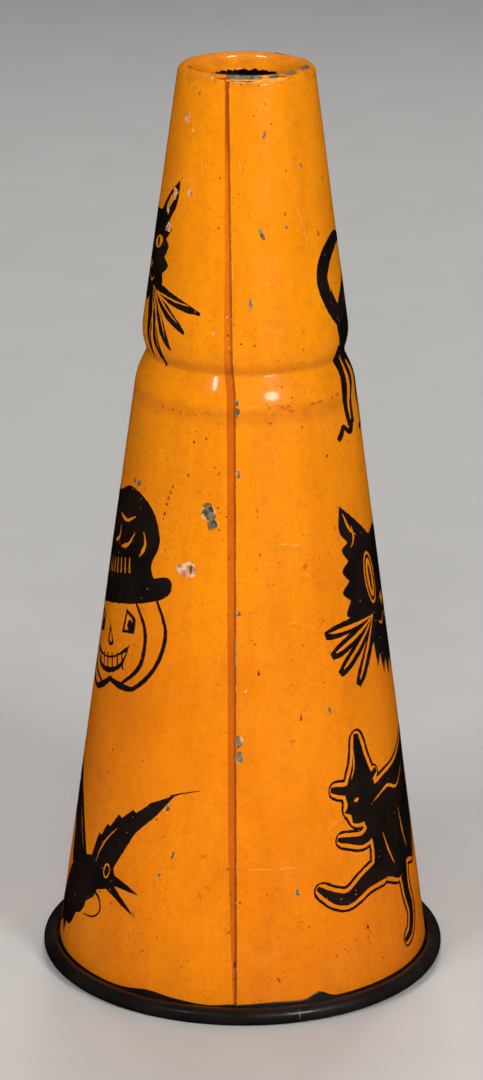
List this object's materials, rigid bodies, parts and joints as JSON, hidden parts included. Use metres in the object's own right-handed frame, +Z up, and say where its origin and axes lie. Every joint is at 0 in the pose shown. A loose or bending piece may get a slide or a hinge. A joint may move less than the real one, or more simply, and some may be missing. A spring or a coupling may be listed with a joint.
{
  "type": "toy blow horn",
  "caption": "Tall conical tinplate blow horn with a rolled mouth, a waist groove that holds its brass reed, and a wired bell rim it stands on.",
  "frame": {"origin": "centre of the circle that the bell rim stands on", "axes": "+Z up the horn's axis to the mouth, -Y towards the lap seam, +X to the right of the seam"},
  "size_m": [0.0668, 0.0668, 0.15],
  "materials": {
    "printed_tinplate": "glossy printed enamel, scuffed",
    "black_ink": "glossy printed ink",
    "black_enamel": "brushed-on semi-gloss enamel",
    "bare_tinplate": "dull tin plating",
    "steel_wire": "drawn wire",
    "brass": "rolled, slightly tarnished"
  },
  "bodies": {
    "horn": {"horn_shell": "printed_tinplate", "rim_wire": "steel_wire", "reed_disc": "bare_tinplate", "reed_plate": "brass", "tongue_rivet_left": "brass", "tongue_rivet_right": "brass", "plate_rivet_front": "brass", "plate_rivet_back": "brass"},
    "tongue": {"reed_tongue": "brass"}
  },
  "joints": [
    {"name": "tongue_bend", "type": "hinge", "parent": "horn", "child": "tongue", "pos_m": [0, -0.0054, 0.1077], "axis": [1, 0, 0], "range_deg": [-4, 4], "stiffness_Nm_per_rad": 0.08}
  ]
}
